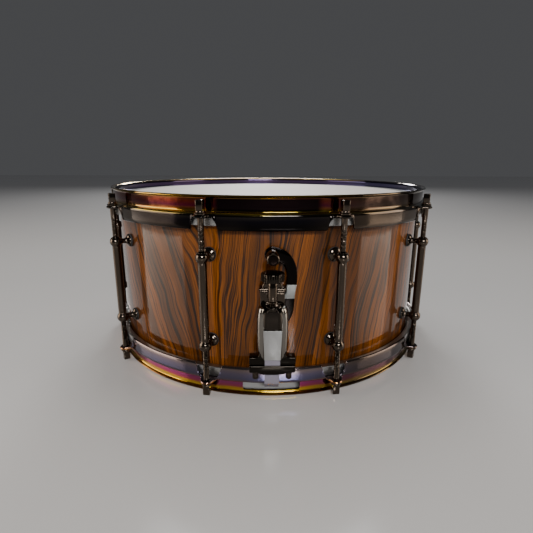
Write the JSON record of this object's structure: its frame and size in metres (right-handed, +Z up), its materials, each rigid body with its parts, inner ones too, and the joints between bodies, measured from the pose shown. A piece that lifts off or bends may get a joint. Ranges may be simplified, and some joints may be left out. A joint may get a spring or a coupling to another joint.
{
  "type": "snare drum",
  "caption": "Wooden-shelled snare drum with flanged hoops, tube lugs, tension rods, coated head, snare wires and a side throw-off lever.",
  "frame": {"origin": "on the drum's axis, in the plane of the snare-side hoop's lip that it stands on", "axes": "+Z up along the drum's axis from the snare side to the batter head; -Y out through the strainer, +Y out through the butt"},
  "size_m": [0.397, 0.4066, 0.183],
  "materials": {
    "shell_wood": "streaked brown veneer under thick clear gloss lacquer",
    "hoop_steel": "polished black-nickel plating with gold, magenta and blue interference tints",
    "black_nickel": "polished black-nickel plating, dark smoky mirror",
    "ring_aluminium": "rolled bright aluminium",
    "batter_film": "sprayed off-white texture coating",
    "snare_film": "thin hazy clear polyester film",
    "strap_film": "milky translucent polyester strap",
    "wire_steel": "plain coiled steel wire"
  },
  "bodies": {
    "root": {"shell": "shell_wood", "vent_grommet": "black_nickel", "snare_hoop": "hoop_steel", "snare_head_film": "snare_film", "snare_head_ring": "ring_aluminium", "batter_hoop": "hoop_steel", "batter_head_film": "batter_film", "batter_head_ring": "ring_aluminium", "tube_lug_01": "black_nickel", "tube_lug_02": "black_nickel", "tube_lug_03": "black_nickel", "tube_lug_04": "black_nickel", "tube_lug_05": "black_nickel", "tube_lug_06": "black_nickel", "tube_lug_07": "black_nickel", "tube_lug_08": "black_nickel", "tube_lug_09": "black_nickel", "tube_lug_10": "black_nickel", "strainer_housing": "black_nickel", "strainer_mount_screw_lower": "black_nickel", "strainer_mount_screw_upper": "black_nickel", "lever_pivot_pin": "black_nickel", "strainer_strap": "strap_film", "butt_plate": "black_nickel", "butt_mount_screw_lower": "black_nickel", "butt_mount_screw_upper": "black_nickel", "butt_clamp_bar": "black_nickel", "butt_clamp_screw_left": "black_nickel", "butt_clamp_screw_right": "black_nickel", "butt_strap": "strap_film"},
    "throw_lever": {"throw_lever": "black_nickel", "lever_grip": "black_nickel"},
    "strap_slider": {"strainer_slider": "black_nickel", "strainer_clamp_bar": "black_nickel", "strainer_clamp_screw_left": "black_nickel", "strainer_clamp_screw_right": "black_nickel"},
    "tension_knob": {"tension_knob": "black_nickel", "tension_screw": "black_nickel"},
    "snare_wires": {"snare_wires": "wire_steel"},
    "batter_tension_rod_01": {"batter_tension_rod_01": "black_nickel"},
    "batter_tension_rod_02": {"batter_tension_rod_02": "black_nickel"},
    "batter_tension_rod_03": {"batter_tension_rod_03": "black_nickel"},
    "batter_tension_rod_04": {"batter_tension_rod_04": "black_nickel"},
    "batter_tension_rod_05": {"batter_tension_rod_05": "black_nickel"},
    "batter_tension_rod_06": {"batter_tension_rod_06": "black_nickel"},
    "batter_tension_rod_07": {"batter_tension_rod_07": "black_nickel"},
    "batter_tension_rod_08": {"batter_tension_rod_08": "black_nickel"},
    "batter_tension_rod_09": {"batter_tension_rod_09": "black_nickel"},
    "batter_tension_rod_10": {"batter_tension_rod_10": "black_nickel"},
    "snare_tension_rod_01": {"snare_tension_rod_01": "black_nickel"},
    "snare_tension_rod_02": {"snare_tension_rod_02": "black_nickel"},
    "snare_tension_rod_03": {"snare_tension_rod_03": "black_nickel"},
    "snare_tension_rod_04": {"snare_tension_rod_04": "black_nickel"},
    "snare_tension_rod_05": {"snare_tension_rod_05": "black_nickel"},
    "snare_tension_rod_06": {"snare_tension_rod_06": "black_nickel"},
    "snare_tension_rod_07": {"snare_tension_rod_07": "black_nickel"},
    "snare_tension_rod_08": {"snare_tension_rod_08": "black_nickel"},
    "snare_tension_rod_09": {"snare_tension_rod_09": "black_nickel"},
    "snare_tension_rod_10": {"snare_tension_rod_10": "black_nickel"}
  },
  "joints": [
    {"name": "lever_throw", "type": "hinge", "parent": "root", "child": "throw_lever", "pos_m": [0, -0.1832, 0.088], "axis": [0, 1, 0], "range_deg": [0, 90]},
    {"name": "slider_drop", "type": "slide", "parent": "root", "child": "strap_slider", "axis": [0, 0, 1], "range_m": [-0.006, 0], "deforming": ["strainer_strap"]},
    {"name": "wires_drop", "type": "slide", "parent": "root", "child": "snare_wires", "axis": [0, 0, 1], "range_m": [-0.0025, 0], "deforming": ["butt_strap"]},
    {"name": "knob_turn", "type": "hinge", "parent": "root", "child": "tension_knob", "pos_m": [0, -0.195, 0.1183], "axis": [0, 0, 1], "continuous": true},
    {"name": "batter_rod_01_turn", "type": "hinge", "parent": "root", "child": "batter_tension_rod_01", "pos_m": [0.05949, -0.18308, 0.15], "axis": [0, 0, 1], "continuous": true},
    {"name": "batter_rod_02_turn", "type": "hinge", "parent": "root", "child": "batter_tension_rod_02", "pos_m": [0.15574, -0.11315, 0.15], "axis": [0, 0, 1], "continuous": true},
    {"name": "batter_rod_03_turn", "type": "hinge", "parent": "root", "child": "batter_tension_rod_03", "pos_m": [0.1925, 0, 0.15], "axis": [0, 0, 1], "continuous": true},
    {"name": "batter_rod_04_turn", "type": "hinge", "parent": "root", "child": "batter_tension_rod_04", "pos_m": [0.15574, 0.11315, 0.15], "axis": [0, 0, 1], "continuous": true},
    {"name": "batter_rod_05_turn", "type": "hinge", "parent": "root", "child": "batter_tension_rod_05", "pos_m": [0.05949, 0.18308, 0.15], "axis": [0, 0, 1], "continuous": true},
    {"name": "batter_rod_06_turn", "type": "hinge", "parent": "root", "child": "batter_tension_rod_06", "pos_m": [-0.05949, 0.18308, 0.15], "axis": [0, 0, 1], "continuous": true},
    {"name": "batter_rod_07_turn", "type": "hinge", "parent": "root", "child": "batter_tension_rod_07", "pos_m": [-0.15574, 0.11315, 0.15], "axis": [0, 0, 1], "continuous": true},
    {"name": "batter_rod_08_turn", "type": "hinge", "parent": "root", "child": "batter_tension_rod_08", "pos_m": [-0.1925, 0, 0.15], "axis": [0, 0, 1], "continuous": true},
    {"name": "batter_rod_09_turn", "type": "hinge", "parent": "root", "child": "batter_tension_rod_09", "pos_m": [-0.15574, -0.11315, 0.15], "axis": [0, 0, 1], "continuous": true},
    {"name": "batter_rod_10_turn", "type": "hinge", "parent": "root", "child": "batter_tension_rod_10", "pos_m": [-0.05949, -0.18308, 0.15], "axis": [0, 0, 1], "continuous": true},
    {"name": "snare_rod_01_turn", "type": "hinge", "parent": "root", "child": "snare_tension_rod_01", "pos_m": [0.05949, -0.18308, 0.03], "axis": [0, 0, 1], "continuous": true},
    {"name": "snare_rod_02_turn", "type": "hinge", "parent": "root", "child": "snare_tension_rod_02", "pos_m": [0.15574, -0.11315, 0.03], "axis": [0, 0, 1], "continuous": true},
    {"name": "snare_rod_03_turn", "type": "hinge", "parent": "root", "child": "snare_tension_rod_03", "pos_m": [0.1925, 0, 0.03], "axis": [0, 0, 1], "continuous": true},
    {"name": "snare_rod_04_turn", "type": "hinge", "parent": "root", "child": "snare_tension_rod_04", "pos_m": [0.15574, 0.11315, 0.03], "axis": [0, 0, 1], "continuous": true},
    {"name": "snare_rod_05_turn", "type": "hinge", "parent": "root", "child": "snare_tension_rod_05", "pos_m": [0.05949, 0.18308, 0.03], "axis": [0, 0, 1], "continuous": true},
    {"name": "snare_rod_06_turn", "type": "hinge", "parent": "root", "child": "snare_tension_rod_06", "pos_m": [-0.05949, 0.18308, 0.03], "axis": [0, 0, 1], "continuous": true},
    {"name": "snare_rod_07_turn", "type": "hinge", "parent": "root", "child": "snare_tension_rod_07", "pos_m": [-0.15574, 0.11315, 0.03], "axis": [0, 0, 1], "continuous": true},
    {"name": "snare_rod_08_turn", "type": "hinge", "parent": "root", "child": "snare_tension_rod_08", "pos_m": [-0.1925, 0, 0.03], "axis": [0, 0, 1], "continuous": true},
    {"name": "snare_rod_09_turn", "type": "hinge", "parent": "root", "child": "snare_tension_rod_09", "pos_m": [-0.15574, -0.11315, 0.03], "axis": [0, 0, 1], "continuous": true},
    {"name": "snare_rod_10_turn", "type": "hinge", "parent": "root", "child": "snare_tension_rod_10", "pos_m": [-0.05949, -0.18308, 0.03], "axis": [0, 0, 1], "continuous": true}
  ],
  "couplings": [
    {"joint": "slider_drop", "follows": "lever_throw", "m_per_rad": -0.0038},
    {"joint": "wires_drop", "follows": "lever_throw", "m_per_rad": -0.00159}
  ]
}
